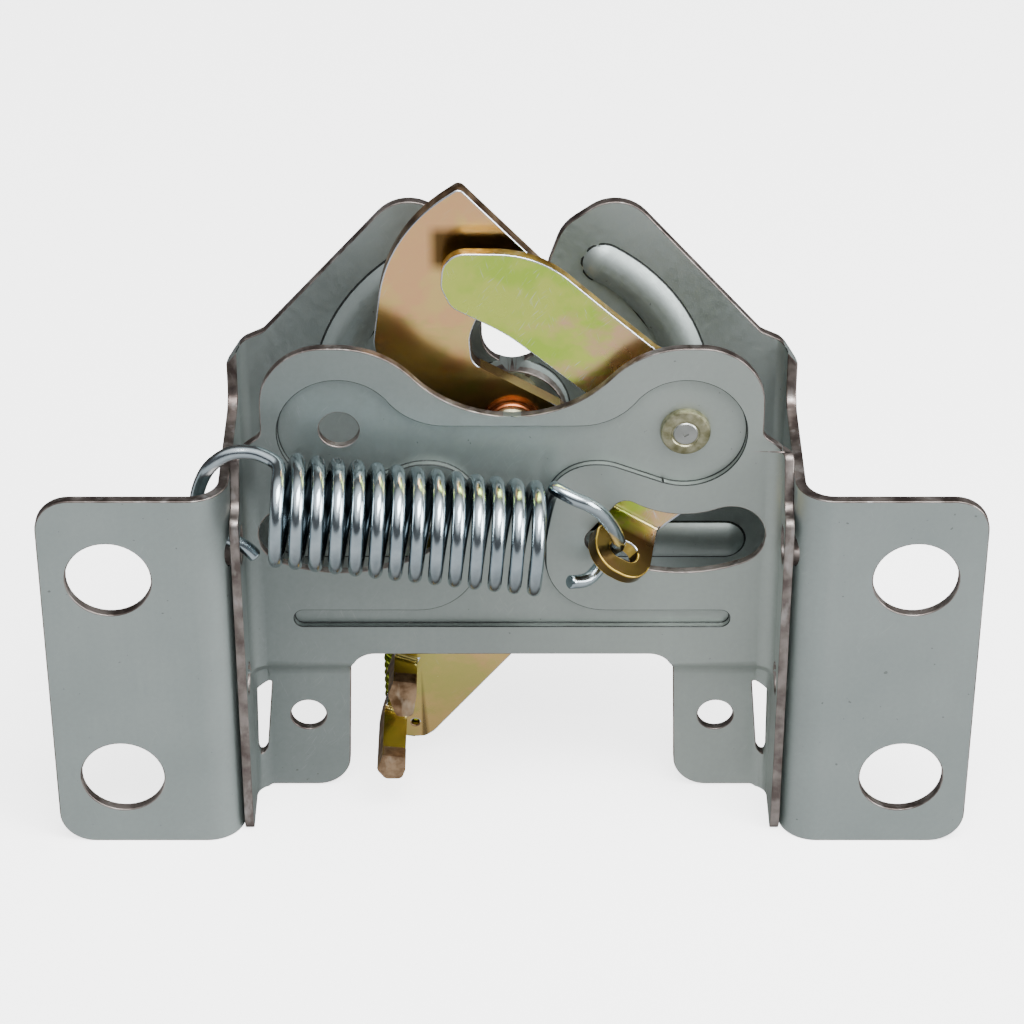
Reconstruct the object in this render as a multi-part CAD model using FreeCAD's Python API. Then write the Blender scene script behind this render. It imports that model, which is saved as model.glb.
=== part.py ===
import FreeCAD, Part
import math
import os

from FreeCAD import Vector

# Bonnet latch: a folded mounting bracket, a pressed inner bracket nested in it, a catch hook and
# a lifting lever on riveted pivots, and their two tension springs.
# Frame: X to the right, Y backwards from the ears into the latch, Z up, millimetres.
# The origin is the centre of the four ear holes, on the rear face of the ears.

# Mounting bracket
outer_sheet = 1.8
overall_width = 160.0
box_width = 98.8
box_depth = 34.0
ear_top = 36.9
ear_bottom = -35.3
ear_corner = 6.0
ear_bend = 4.7
back_bend = 2.0
ear_hole_edge = 11.7
ear_hole_span_z = 42.0
ear_hole_radius = 7.25
back_bottom = -15.5
shoulder_height = 49.9
lobe_height = 75.3
notch_radius = 5.2
notch_bottom = 43.5
bead_radius = 31.0
bead_centre_z = 36.4
bead_width = 7.4
bead_height = 1.9
bead_start = 59.8
bead_end = 8.0
low_bead_height = 6.5
low_bead_reach = 38.0
boss_radius = 9.4
boss_taper = 0.7
boss_height = 3.0
boss_drop = 4.5

# Inner bracket
inner_sheet = 1.6
plate_setback = 11.2
leg_jog = 3.0
jog_below_plate = 2.4
inner_bend = 3.0
free_edge = 0.7
valley_height = 45.5
valley_radius = 22.2
inner_lobe_top = 58.7
inner_lobe_radius = 16.7
inner_lobe_side = 42.5
inner_shoulder = 39.4
side_top = 31.0
plate_bottom = -3.8
leg_inner = 28.4
leg_bottom = -35.0
leg_corner = 6.0
leg_hole_x = 36.4
leg_hole_z = -19.3
leg_hole_radius = 3.15
recess_depth = 1.2
recess_lobe_radius = 10.4
recess_top = 43.5
recess_stem = 5.8
recess_arch = 35.9
recess_arch_x = 16.4
recess_arch_corner = 9.0
recess_stem_corner = 8.4
recess_flare = 10.5
recess_lobe_turn = 3.6
rail_top = 5.6
rail_bottom = 2.2
rail_reach = 38.0
rail_corner = 1.6
slot_inner_radius = 16.4
slot_outer_radius = 28.4
slot_start_angle = -128.6
slot_end_angle = -53.0
hook_hole_y = 4.6
hook_hole_z = 23.9
hook_hole_radius = 3.4
locating_hole_z = -5.2
locating_hole_y = 6.0
locating_hole_radius = 2.9

# Lifting lever
lever_sheet = 2.2
lever_gap = 1.0
lever_pivot_x = 29.3
lever_pivot_z = 42.1
lever_boss_radius = 12.5
lever_tip_x = -11.9
lever_tip_rise = 32.5
lever_tip_height = 10.3
tab_left_x = 16.9
tab_left_z = 25.4
tab_slope = -31.8
tab_width = 9.9
tab_lean = 21.0
tab_length = 12.8
tab_flare = 1.2
tab_corner = 5.0
tab_hole_along = 4.4
tab_hole_reach = 7.7
tab_hole_length = 5.6
tab_hole_width = 3.8

# Catch hook
hook_sheet = 3.0
hook_gap = 2.7
hook_pivot_z = 38.6
hook_tip_x = -8.7
hook_tip_rise = 45.6
mouth_right = 8.3
mouth_top_rise = 27.3
mouth_height = 11.6
mouth_back_x = -6.9
arm_right = 10.0
arm_left = -20.0
arm_bottom = -28.8
shoulder_x = -23.7
finger_slope = -20.0
finger_width = 4.3
upper_finger_x = -21.0
upper_finger_z = -10.2
upper_finger_reach = 8.3
upper_finger_drop = 7.6
lower_finger_x = -23.0
lower_finger_z = -21.9
lower_finger_reach = 14.6
lower_finger_drop = 5.0
return_hole_clearance = 0.25
return_hole_z = -25.3

# Pivots
lever_pin_radius = 4.2
lever_shank_radius = 3.4
lever_head_radius = 4.25
lever_flange_radius = 7.5
lever_flange = 1.9
washer_radius = 8.0
catch_pin_radius = 3.0
catch_head_radius = 3.9
catch_head = 1.1
bush_wall = 1.1
bush_flange = 0.7
bush_flange_radius = 5.2
collar_radius = 4.6
tail_shank_radius = 2.4
tail_radius = 3.6
tail_height = 1.2
running_fit = 0.05
end_float = 0.12

# Springs
lifter_wire = 2.3
lifter_coil_radius = 8.6
lifter_turns = 14
lifter_start_x = -40.0
lifter_start_z = 33.7
lifter_end_x = 6.6
lifter_end_z = 27.4
lifter_axis_y = 0.9
hook_wall_gap = 3.4
hook_slack = 0.3
return_wire = 1.0
return_coil_radius = 2.8
return_turns = 11
return_axis_x = -20.3
return_top_z = -7.4
return_hook = 4.0

# Derived places
ear_half = overall_width / 2
wall_outer = box_width / 2
wall_inner = wall_outer - outer_sheet
ear_front = -outer_sheet
back_front = box_depth - outer_sheet
inner_outside = wall_inner
inner_inside = inner_outside - inner_sheet
plate_front = plate_setback
plate_back = plate_front + inner_sheet
recess_front = plate_front + recess_depth
recess_back = plate_back + recess_depth
leg_front = plate_front + leg_jog
leg_back = leg_front + inner_sheet
lever_front = recess_back + lever_gap
lever_back = lever_front + lever_sheet
hook_front = lever_back + hook_gap
hook_back = hook_front + hook_sheet
boss_front = back_front - boss_height
boss_z = hook_pivot_z - boss_drop
return_end_x = return_axis_x + return_coil_radius
bush_radius_catch = catch_pin_radius + running_fit + bush_wall
bush_radius_lever = lever_pin_radius + running_fit + bush_wall


# Tangent lengths of the corner arcs, shortened where two arcs would meet on a short side
def arc_runs(points, radii, closed):
    count = len(points)
    runs = [0.0] * count
    halves = [math.pi / 2] * count
    for index in range(count):
        if radii[index] <= 0:
            continue
        before = (points[index - 1] - points[index]).normalize()
        after = (points[(index + 1) % count] - points[index]).normalize()
        halves[index] = before.getAngle(after) / 2
        if halves[index] < math.pi / 2 - 0.002:
            runs[index] = radii[index] / math.tan(halves[index])
    sides = count if closed else count - 1
    for index in range(sides):
        following = (index + 1) % count
        length = points[index].distanceToPoint(points[following])
        total = runs[index] + runs[following]
        if total > length - 0.02:
            share = (length - 0.02) / total
            runs[index] *= share
            runs[following] *= share
    return runs, halves


# Edges along points, each corner rounded by a tangent arc
def rounded_edges(points, radii, closed):
    count = len(points)
    runs, halves = arc_runs(points, radii, closed)
    edges = []
    last = points[0]
    if closed:
        last = points[-1] + (points[0] - points[-1]).normalize() * runs[-1]
    for index in range(count):
        here = points[index]
        first = here
        second = here
        if runs[index] > 0.001:
            before = (points[index - 1] - here).normalize()
            after = (points[(index + 1) % count] - here).normalize()
            radius = runs[index] * math.tan(halves[index])
            first = here + before * runs[index]
            second = here + after * runs[index]
            bulge = (before + after).normalize() * (radius / math.sin(halves[index]) - radius)
        if last.distanceToPoint(first) > 0.001:
            edges.append(Part.LineSegment(last, first).toShape())
        if runs[index] > 0.001:
            edges.append(Part.Arc(first, here + bulge, second).toShape())
        last = second
    return edges


# Closed outline from corners (u, v, radius)
def outline(corners, place):
    points = [place(u, v) for u, v, radius in corners]
    radii = [radius for u, v, radius in corners]
    return Part.Wire(rounded_edges(points, radii, True))


# Prism with its outline in X and Z, from one Y to another
def front_prism(corners, y_start, y_end):
    wire = outline(corners, lambda u, v: Vector(u, y_start, v))
    return Part.Face(wire).extrude(Vector(0, y_end - y_start, 0))


# Prism with its outline in Y and Z, from one X to another
def side_prism(corners, x_start, x_end):
    wire = outline(corners, lambda u, v: Vector(x_start, u, v))
    return Part.Face(wire).extrude(Vector(x_end - x_start, 0, 0))


# Prism with its outline in X and Y, from one Z to another
def plan_prism(corners, z_start, z_end):
    wire = outline(corners, lambda u, v: Vector(u, v, z_start))
    return Part.Face(wire).extrude(Vector(0, 0, z_end - z_start))


# Full outline from its right half, which starts and ends near the middle
def both_sides(half):
    return half + [(-u, v, radius) for u, v, radius in reversed(half)]


def cylinder_y(radius, x, z, y_start, y_end):
    return Part.makeCylinder(radius, y_end - y_start, Vector(x, y_start, z), Vector(0, 1, 0))


def cylinder_x(radius, y, z, x_start, x_end):
    return Part.makeCylinder(radius, x_end - x_start, Vector(x_start, y, z), Vector(1, 0, 0))


def mirrored_x(shape):
    return shape.mirror(Vector(0, 0, 0), Vector(1, 0, 0))


# Point at a radius and an angle in degrees about a pivot, in X and Z
def polar(x, z, radius, angle):
    turn = math.radians(angle)
    return x + radius * math.cos(turn), z + radius * math.sin(turn)


# Rounded ridge along an arc beside the notch, or its hollow behind
def arc_bead(radius, width, height, start_angle, end_angle, base_y):
    half = width / 2
    ball = (half * half + height * height) / (2 * height)
    centre_y = base_y - height + ball
    low = Vector(radius - half, base_y, 0)
    high = Vector(radius + half, base_y, 0)
    top = Vector(radius, base_y - height, 0)
    curve = Part.Arc(low, top, high).toShape()
    chord = Part.LineSegment(high, low).toShape()
    section = Part.Face(Part.Wire([curve, chord]))
    ridge = section.revolve(Vector(0, 0, 0), Vector(0, 1, 0), start_angle - end_angle)
    cap = Part.makeSphere(ball, Vector(radius, centre_y, 0))
    keep = Part.makeBox(4 * ball, height * 2, 4 * ball,
                        Vector(radius - 2 * ball, base_y - height * 2, -2 * ball))
    cap = cap.common(keep)
    far_cap = cap.copy()
    far_cap.rotate(Vector(0, 0, 0), Vector(0, 1, 0), start_angle - end_angle)
    bead = ridge.fuse([cap, far_cap])
    bead.rotate(Vector(0, 0, 0), Vector(0, 1, 0), -start_angle)
    bead.translate(Vector(0, 0, bead_centre_z))
    return bead


# Straight level bead across the back plate
def level_bead(reach, width, height, z, base_y):
    half = width / 2
    ball = (half * half + height * height) / (2 * height)
    centre_y = base_y - height + ball
    low = Vector(-reach, base_y, z - half)
    high = Vector(-reach, base_y, z + half)
    top = Vector(-reach, base_y - height, z)
    curve = Part.Arc(low, top, high).toShape()
    chord = Part.LineSegment(high, low).toShape()
    ridge = Part.Face(Part.Wire([curve, chord])).extrude(Vector(2 * reach, 0, 0))
    ends = []
    for side in (-1, 1):
        ball_end = Part.makeSphere(ball, Vector(side * reach, centre_y, z))
        keep = Part.makeBox(4 * ball, height * 2, 4 * ball,
                            Vector(side * reach - 2 * ball, base_y - height * 2, z - 2 * ball))
        ends.append(ball_end.common(keep))
    return ridge.fuse(ends)


def mounting_bracket():
    section = [
        (-ear_half, ear_front, 0), (-wall_inner, ear_front, ear_bend + outer_sheet),
        (-wall_inner, back_front, back_bend), (wall_inner, back_front, back_bend),
        (wall_inner, ear_front, ear_bend + outer_sheet), (ear_half, ear_front, 0),
        (ear_half, 0, 0), (wall_outer, 0, ear_bend),
        (wall_outer, box_depth, back_bend + outer_sheet), (-wall_outer, box_depth, back_bend + outer_sheet),
        (-wall_outer, 0, ear_bend), (-ear_half, 0, 0)]
    sheet = plan_prism(section, ear_bottom - 1, lobe_height + 1)
    rise = back_front - 2.4
    side = [
        (ear_front - 1, ear_bottom, 0), (ear_front - 1, ear_top, 0), (rise, ear_top, 3.5),
        (rise, lobe_height + 5, 0), (box_depth + 1, lobe_height + 5, 0),
        (box_depth + 1, back_bottom, 0), (rise - 2, back_bottom, 6.0), (box_depth / 2, ear_bottom, 8.0)]
    sheet = sheet.common(side_prism(side, -ear_half - 1, ear_half + 1))
    notch_centre = notch_bottom + notch_radius
    half = [
        (notch_radius, notch_bottom, notch_radius - 0.01), (notch_radius, notch_centre + 1.0, 6.0),
        (notch_radius + 0.9, lobe_height - 12.3, 8.0), (notch_radius + 3.3, lobe_height - 5.1, 8.0),
        (notch_radius + 13.3, lobe_height + 2.1, 7.0), (wall_outer - 6.4, shoulder_height - 0.3, 2.5),
        (wall_outer - 2.8, shoulder_height - 2.0, 3.0), (wall_outer + 0.5, shoulder_height - 6.1, 0),
        (wall_outer + 0.6, ear_top, 0), (ear_half, ear_top, ear_corner), (ear_half, ear_bottom, ear_corner)]
    sheet = sheet.common(front_prism(both_sides(half), ear_front - 1, box_depth + 1))
    ridge = arc_bead(bead_radius, bead_width, bead_height, bead_start, bead_end, back_front)
    hollow = arc_bead(bead_radius, bead_width - 1.6, bead_height, bead_start, bead_end, box_depth)
    rail = level_bead(low_bead_reach, bead_width, bead_height, low_bead_height, back_front)
    rail_hollow = level_bead(low_bead_reach, bead_width - 1.6, bead_height, low_bead_height, box_depth)
    boss = Part.makeCone(boss_radius + boss_taper, boss_radius, boss_height,
                         Vector(0, back_front, boss_z), Vector(0, -1, 0))
    sheet = sheet.fuse([ridge, mirrored_x(ridge), rail, boss])
    dish = cylinder_y(boss_radius - 1.2, 0, boss_z, box_depth - boss_height, box_depth + 1)
    sheet = sheet.cut([hollow, mirrored_x(hollow), rail_hollow, dish])
    above_boss = front_prism(both_sides([
        (notch_radius, notch_bottom, notch_radius - 0.01), (notch_radius, lobe_height, 0)]),
        boss_front - 1, box_depth + 1)
    cuts = [above_boss, cylinder_y(tail_shank_radius, 0, hook_pivot_z, boss_front - 1, box_depth + 1)]
    for side_x in (-1, 1):
        for side_z in (-1, 1):
            cuts.append(cylinder_y(ear_hole_radius, side_x * (ear_half - ear_hole_edge),
                                   side_z * ear_hole_span_z / 2, ear_front - 1, 1))
    cuts.append(cylinder_x(hook_hole_radius, hook_hole_y, hook_hole_z, -wall_outer - 1, wall_outer + 1))
    cuts.append(cylinder_y(return_wire / 2 + return_hole_clearance, return_end_x, return_top_z,
                           back_front - 3, box_depth + 1))
    return sheet.cut(cuts).removeSplitter()


# Section of the inner bracket at one height, walls forward and plate behind
def inner_section(front, z):
    corners = [
        (-inner_outside, free_edge, 0), (-inner_outside, front + inner_sheet, inner_bend + inner_sheet),
        (inner_outside, front + inner_sheet, inner_bend + inner_sheet), (inner_outside, free_edge, 0),
        (inner_inside, free_edge, 0), (inner_inside, front, inner_bend),
        (-inner_inside, front, inner_bend), (-inner_inside, free_edge, 0)]
    return outline(corners, lambda u, v: Vector(u, v, z))


# Curved slot about the lever pivot that the tab of the lever reaches through
def arc_slot(y_start, y_end):
    middle = (slot_inner_radius + slot_outer_radius) / 2
    reach = (slot_outer_radius - slot_inner_radius) / 2
    last = slot_end_angle - math.degrees(reach / middle)
    face_edges = []
    for radius in (slot_inner_radius, slot_outer_radius):
        points = []
        for angle in (slot_start_angle, (slot_start_angle + last) / 2, last):
            x, z = polar(lever_pivot_x, lever_pivot_z, radius, angle)
            points.append(Vector(x, y_start, z))
        face_edges.append(Part.Arc(points[0], points[1], points[2]).toShape())
    ends = []
    for radius in (slot_inner_radius, slot_outer_radius):
        x, z = polar(lever_pivot_x, lever_pivot_z, radius, slot_start_angle)
        ends.append(Vector(x, y_start, z))
    face_edges.append(Part.LineSegment(ends[0], ends[1]).toShape())
    near = Vector(*place_y(polar(lever_pivot_x, lever_pivot_z, slot_inner_radius, last), y_start))
    far = Vector(*place_y(polar(lever_pivot_x, lever_pivot_z, slot_outer_radius, last), y_start))
    tip_x, tip_z = polar(lever_pivot_x, lever_pivot_z, middle, last)
    along = math.radians(last + 90)
    tip = Vector(tip_x + reach * math.cos(along), y_start, tip_z + reach * math.sin(along))
    face_edges.append(Part.Arc(near, tip, far).toShape())
    face = Part.Face(Part.Wire(Part.__sortEdges__(face_edges)))
    slot = face.extrude(Vector(0, y_end - y_start, 0))
    square_end = [edge for edge in slot.Edges if is_slot_corner(edge)]
    return slot.makeFillet(2.4, square_end)


def place_y(point, y):
    return point[0], y, point[1]


# The two straight Y edges at the square end of the slot
def is_slot_corner(edge):
    if len(edge.Vertexes) != 2:
        return False
    first = edge.Vertexes[0].Point
    second = edge.Vertexes[1].Point
    if abs(first.x - second.x) > 0.001 or abs(first.z - second.z) > 0.001:
        return False
    angle = math.degrees(math.atan2(first.z - lever_pivot_z, first.x - lever_pivot_x))
    return abs(angle - slot_start_angle) < 0.1


# Area pressed backwards in the front plate, grown by a margin
def recess_prism(margin, y_start, y_end):
    half = [
        (0.5, recess_top + margin, 0), (16.9, recess_top + margin, 12.0),
        (lever_pivot_x - 7.6, lever_pivot_z + 7.0 + margin, 0),
        (lever_pivot_x, lever_pivot_z, 0),
        (lever_pivot_x - recess_lobe_turn, lever_pivot_z - recess_lobe_radius + 0.6 - margin, 0),
        (recess_arch_x, recess_arch - margin, recess_arch_corner),
        (recess_stem + margin, recess_arch - margin, recess_stem_corner - margin),
        (recess_stem + margin, rail_top + margin, recess_flare),
        (rail_reach + margin, rail_top + margin, rail_corner + margin),
        (rail_reach + margin, rail_bottom - margin, rail_corner + margin), (0.5, rail_bottom - margin, 0)]
    area = front_prism(both_sides(half), y_start, y_end)
    lobes = []
    for side in (-1, 1):
        lobes.append(cylinder_y(recess_lobe_radius + margin, side * lever_pivot_x, lever_pivot_z,
                                y_start, y_end))
    return area.fuse(lobes).removeSplitter()


def inner_bracket():
    jog_top = plate_bottom - jog_below_plate
    jog_bottom = jog_top - leg_jog
    sections = [
        inner_section(leg_front, ear_bottom - 1.5), inner_section(leg_front, jog_bottom),
        inner_section(plate_front, jog_top), inner_section(plate_front, inner_lobe_top + 1)]
    sheet = Part.makeLoft(sections, True, True)
    side = [
        (free_edge, ear_bottom - 1.0, 4.0), (free_edge, side_top, 2.0), (4.4, side_top, 3.0),
        (plate_front - 2.6, inner_shoulder, 3.0), (plate_front - 1.6, inner_shoulder, 0),
        (plate_front - 1.6, inner_lobe_top + 1, 0), (leg_back + 1, inner_lobe_top + 1, 0),
        (leg_back + 1, ear_bottom - 1.0, 0)]
    sheet = sheet.common(side_prism(side, -inner_outside - 1, inner_outside + 1))
    half = [
        (10.0, valley_height, valley_radius), (21.8, inner_lobe_top, inner_lobe_radius),
        (inner_lobe_side, inner_lobe_top, 11.0), (inner_lobe_side, inner_shoulder + 2.0, 2.0),
        (inner_lobe_side + 3.4, inner_shoulder, 1.0), (inner_outside + 1, inner_shoulder, 0),
        (inner_outside + 1, ear_bottom - 2.0, 0), (inner_inside - 0.2, ear_bottom - 2.0, 0),
        (43.6, leg_bottom, 1.4), (29.3, leg_bottom, leg_corner), (leg_inner, plate_bottom, 4.4)]
    sheet = sheet.common(front_prism(both_sides(half), free_edge - 1, leg_back + 1))
    pad = recess_prism(0.9, plate_back - 0.4, recess_back)
    sheet = sheet.fuse(pad)
    cuts = [recess_prism(0, plate_front - 1, recess_front)]
    slot = arc_slot(plate_front - 1, recess_back + 1)
    cuts.extend([slot, mirrored_x(slot)])
    relief = front_prism([
        (42.7, -11.5, 0.4), (44.0, -26.4, 0.5), (45.1, -28.2, 0.5), (45.6, -26.1, 0.5), (45.4, -12.9, 0.5)],
        leg_front - 3.2, leg_back + 1)
    cuts.extend([relief, mirrored_x(relief)])
    for side_x in (-1, 1):
        cuts.append(cylinder_y(lever_shank_radius, side_x * lever_pivot_x, lever_pivot_z,
                               plate_front - 1, recess_back + 1))
        cuts.append(cylinder_y(leg_hole_radius, side_x * leg_hole_x, leg_hole_z, plate_front - 1, leg_back + 1))
    cuts.append(cylinder_x(hook_hole_radius, hook_hole_y, hook_hole_z, -inner_outside - 1, inner_outside + 1))
    cuts.append(cylinder_x(locating_hole_radius, locating_hole_y, locating_hole_z,
                           -inner_outside - 1, inner_outside + 1))
    return sheet.cut(cuts).removeSplitter()


# Tongue bent forward from a sheet along a bend line that starts at (x, z) and slopes by an angle
# profile: corners (away, y, radius), away from the sheet across the bend line
def bent_tongue(profile, x, z, slope, width):
    turn = math.radians(slope)
    along = Vector(math.cos(turn), 0, math.sin(turn))
    away = Vector(math.sin(turn), 0, -math.cos(turn))
    start = Vector(x, 0, z)
    wire = outline(profile, lambda u, v: start + away * u + Vector(0, v, 0))
    return Part.Face(wire).extrude(along * width)


# Corner of the tab's front face, and unit vectors along its bend, ahead to its end and through it
def tab_axes():
    turn = math.radians(tab_slope)
    lean = math.radians(tab_lean)
    away = Vector(math.sin(turn), 0, -math.cos(turn))
    along = Vector(math.cos(turn), 0, math.sin(turn))
    ahead = away * math.sin(lean) + Vector(0, -math.cos(lean), 0)
    through = away * math.cos(lean) + Vector(0, math.sin(lean), 0)
    return Vector(tab_left_x, lever_front, tab_left_z), along, ahead, through


def lever_tab():
    lean = math.radians(tab_lean)
    reach_u = tab_length * math.sin(lean)
    reach_y = lever_front - tab_length * math.cos(lean)
    across_u = lever_sheet * math.cos(lean)
    across_y = lever_sheet * math.sin(lean)
    root = lever_sheet * (1 + math.sin(lean)) / math.cos(lean)
    profile = [
        (-3.0, lever_front, 0), (0, lever_front, 1.0), (reach_u, reach_y, 0),
        (reach_u + across_u, reach_y + across_y, 0), (root, lever_back, 1.0 + lever_sheet),
        (-3.0, lever_back, 0)]
    corner, along, ahead, through = tab_axes()
    first = corner - along * tab_flare
    tongue = bent_tongue(profile, first.x, first.z, tab_slope, tab_width + tab_flare)
    start = corner - through * lever_sheet
    depth = through * 4 * lever_sheet
    corners = [
        (0, -8.0, 0), (tab_width, -8.0, 0), (tab_width, tab_length, tab_corner),
        (-tab_flare, tab_length, tab_corner), (-tab_flare, 5.6, 1.5), (0, 4.3, 0.5)]
    wire = outline(corners, lambda u, v: start + along * u + ahead * v)
    tongue = tongue.common(Part.Face(wire).extrude(depth))
    half = tab_hole_length / 2
    side = tab_hole_width / 2
    hole = [
        (tab_hole_along - half, tab_hole_reach - side, side - 0.01),
        (tab_hole_along + half, tab_hole_reach - side, side - 0.01),
        (tab_hole_along + half, tab_hole_reach + side, side - 0.01),
        (tab_hole_along - half, tab_hole_reach + side, side - 0.01)]
    wire = outline(hole, lambda u, v: start + along * u + ahead * v)
    return tongue.cut(Part.Face(wire).extrude(depth))


def lifter_lever():
    turn = math.radians(tab_slope)
    tab_right_x = tab_left_x + tab_width * math.cos(turn)
    tab_right_z = tab_left_z + tab_width * math.sin(turn)
    boss = lever_boss_radius
    tip_z = lever_pivot_z + lever_tip_rise
    corners = [
        (lever_tip_x, tip_z - 6.4, 3.0), (lever_tip_x + 0.5, tip_z, 4.0), (lever_tip_x + 16.2, tip_z - 0.1, 18.0),
        (lever_pivot_x - 13.1, tip_z - 11.2, 30.0), (lever_pivot_x - 3.8, lever_pivot_z + boss + 0.4, 6.0),
        (lever_pivot_x + boss - 1.0, lever_pivot_z + boss - 0.4, boss - 1.2),
        (lever_pivot_x + boss - 1.0, lever_pivot_z - 9.0, 9.0),
        (tab_right_x, tab_right_z, 0), (tab_left_x, tab_left_z, 0),
        (lever_pivot_x - 14.5, lever_pivot_z + 3.5, 4.5), (lever_tip_x + 10.9, tip_z - 15.3, 30.0),
        (lever_tip_x + 1.7, tip_z - lever_tip_height, 3.5)]
    plate = front_prism(corners, lever_front, lever_back)
    lever = plate.fuse(lever_tab()).removeSplitter()
    bore = cylinder_y(bush_radius_lever, lever_pivot_x, lever_pivot_z, lever_front - 1, lever_back + 1)
    return lever.cut(bore)


# Finger bent forward from the lower arm of the hook, its end turned straight down
def hook_finger(x, z, reach, drop, width):
    end = hook_front - reach
    sheet = hook_sheet
    turn = math.radians(finger_slope)
    profile = [
        (-2.0, hook_front, 0), (0, hook_front, 1.0), (0, end, 0), (sheet, end, 0),
        (sheet, hook_back, sheet + 1.0), (-2.0, hook_back, 0)]
    tongue = bent_tongue(profile, x, z, finger_slope, width)
    right = x + width * math.cos(turn)
    left = x + sheet * math.sin(turn)
    nose = front_prism([
        (x, z, 0.4), (right + 0.1, z - 0.4, 0.4), (right, z - sheet, 0), (right - 0.7, z - drop, 1.0),
        (x + 0.4, z - drop, 1.2), (left, z - sheet, 0.8)], end, end + sheet)
    side = side_prism([
        (end, z + 1, 2.2), (end, z - drop - 1, 0), (hook_back + 1, z - drop - 1, 0), (hook_back + 1, z + 1, 0)],
        left - 2, right + 2)
    return tongue.fuse(nose).common(side)


def catch_hook():
    tip_z = hook_pivot_z + hook_tip_rise
    mouth_top = hook_pivot_z + mouth_top_rise
    mouth_bottom = mouth_top - mouth_height
    corners = [
        (hook_tip_x, tip_z, 1.2), (mouth_right, mouth_top, 1.8), (mouth_right - 1.5, mouth_top - 4.3, 1.5),
        (mouth_back_x + 2.0, mouth_top - 3.7, 3.5), (mouth_back_x - 0.3, mouth_bottom + 1.5, 7.0),
        (mouth_back_x + 0.2, mouth_bottom - 3.7, 3.0), (arm_right - 0.6, hook_pivot_z + 2.6, 2.5),
        (arm_right, hook_pivot_z - 8.6, 8.0), (arm_right - 2.6, arm_bottom + 27.8, 8.0),
        (arm_left + 4.7, arm_bottom, 4.6), (arm_left, arm_bottom + 0.5, 0.6),
        (arm_left + 1.0, upper_finger_z - 3.8, 0), (arm_left - 0.9, upper_finger_z + 0.6, 0),
        (arm_left - 0.2, upper_finger_z + 6.2, 4.0), (arm_left + 6.6, hook_pivot_z - 18.6, 20.0),
        (arm_left + 6.0, hook_pivot_z + 2.4, 6.0), (shoulder_x, mouth_bottom - 1.7, 7.0),
        (shoulder_x + 2.0, mouth_top + 3.1, 30.0), (hook_tip_x - 7.3, tip_z - 5.2, 30.0)]
    plate = front_prism(corners, hook_front, hook_back)
    upper = hook_finger(upper_finger_x, upper_finger_z, upper_finger_reach, upper_finger_drop, finger_width)
    lower = hook_finger(lower_finger_x, lower_finger_z, lower_finger_reach, lower_finger_drop, finger_width)
    hook = plate.fuse([upper, lower]).removeSplitter()
    bore = cylinder_y(bush_radius_catch, 0, hook_pivot_z, hook_front - 1, hook_back + 1)
    hole = cylinder_y(return_wire / 2 + return_hole_clearance, return_end_x, return_hole_z,
                      hook_front - 1, hook_back + 1)
    return hook.cut([bore, hole])


# Turned part about a Y axis from (radius, y) corners
def turned(corners, x, z):
    points = [Vector(radius, y, 0) for radius, y in corners]
    points.append(points[0])
    face = Part.Face(Part.makePolygon(points))
    solid = face.revolve(Vector(0, 0, 0), Vector(0, 1, 0), 360)
    solid.translate(Vector(x, 0, z))
    return solid


def lifter_rivet():
    head_front = recess_front - 1.4
    shoulder_end = lever_back + end_float
    corners = [
        (0, head_front + 0.25), (0.6, head_front + 0.25), (0.9, head_front), (1.9, head_front),
        (2.2, head_front + 0.15), (3.7, head_front), (lever_head_radius, head_front + 0.5),
        (lever_head_radius, recess_front), (lever_shank_radius, recess_front),
        (lever_shank_radius, recess_back), (lever_pin_radius, recess_back), (lever_pin_radius, shoulder_end),
        (lever_flange_radius, shoulder_end), (lever_flange_radius, shoulder_end + lever_flange - 0.6),
        (lever_flange_radius - 0.6, shoulder_end + lever_flange), (0, shoulder_end + lever_flange)]
    return turned(corners, lever_pivot_x, lever_pivot_z)


def lifter_washer():
    front = recess_back
    back = lever_front - end_float
    corners = [
        (lever_pin_radius, front), (washer_radius, front), (washer_radius, back), (lever_pin_radius, back)]
    return turned(corners, lever_pivot_x, lever_pivot_z)


def lifter_bush():
    inner = lever_pin_radius + running_fit
    corners = [
        (inner, lever_front), (bush_radius_lever, lever_front),
        (bush_radius_lever, lever_back), (inner, lever_back)]
    return turned(corners, lever_pivot_x, lever_pivot_z)


def catch_bush():
    inner = catch_pin_radius + running_fit
    front = hook_front - bush_flange
    corners = [
        (inner, front), (catch_head_radius + 0.2, front), (catch_head_radius + 0.4, front + 0.25),
        (catch_head_radius + 0.7, front + 0.25), (catch_head_radius + 0.9, front),
        (bush_flange_radius, front), (bush_flange_radius, hook_front), (bush_radius_catch, hook_front),
        (bush_radius_catch, hook_back), (inner, hook_back)]
    return turned(corners, 0, hook_pivot_z)


def catch_rivet():
    head_back = hook_front - bush_flange - end_float
    head_front = head_back - catch_head
    plate_rear = boss_front + outer_sheet
    corners = [
        (0, head_front), (catch_head_radius - 0.5, head_front), (catch_head_radius, head_front + 0.4),
        (catch_head_radius, head_back), (catch_pin_radius, head_back), (catch_pin_radius, boss_front),
        (tail_shank_radius, boss_front), (tail_shank_radius, plate_rear), (tail_radius, plate_rear),
        (tail_radius - 0.5, plate_rear + tail_height), (0, plate_rear + tail_height)]
    return turned(corners, 0, hook_pivot_z)


def catch_collar():
    front = hook_back + end_float
    corners = [
        (catch_pin_radius, front), (collar_radius, front),
        (collar_radius, boss_front), (catch_pin_radius, boss_front)]
    return turned(corners, 0, hook_pivot_z)


# Edges along (point, bend radius) pairs
def bent_path(stations):
    points = [point for point, radius in stations]
    radii = [radius for point, radius in stations]
    return rounded_edges(points, radii, False)


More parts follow.
